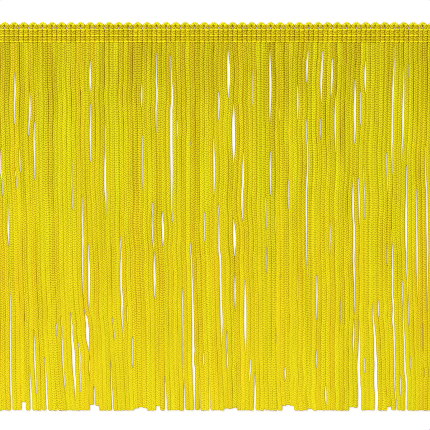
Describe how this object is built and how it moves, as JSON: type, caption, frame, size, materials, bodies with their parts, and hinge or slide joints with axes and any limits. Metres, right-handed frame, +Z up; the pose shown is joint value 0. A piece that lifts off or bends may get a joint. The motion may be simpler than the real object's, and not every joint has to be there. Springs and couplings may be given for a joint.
{
  "type": "chainette fringe trim",
  "caption": "Flat length of fringe trim: picot-edged heading bound by three chain rows, with cut chainette strands hanging from it.",
  "frame": {"origin": "centre of the bounding box in plan, on the surface that the trim lies on", "axes": "+X along the heading, +Y towards the picot edge, away from the cut ends of the fringe, +Z up through the thickness, from the back to the face with the chain rows"},
  "size_m": [0.179, 0.1524, 0.0022],
  "materials": {
    "picot_cord": "satin",
    "heading_cord": "satin",
    "chain_yarn": "satin",
    "fringe_cord": "satin"
  },
  "bodies": {
    "root": {"picot_edge": "picot_cord", "heading": "heading_cord", "chain_row_top": "chain_yarn", "chain_row_middle": "chain_yarn", "chain_row_bottom": "chain_yarn", "fringe": "fringe_cord"}
  },
  "joints": []
}
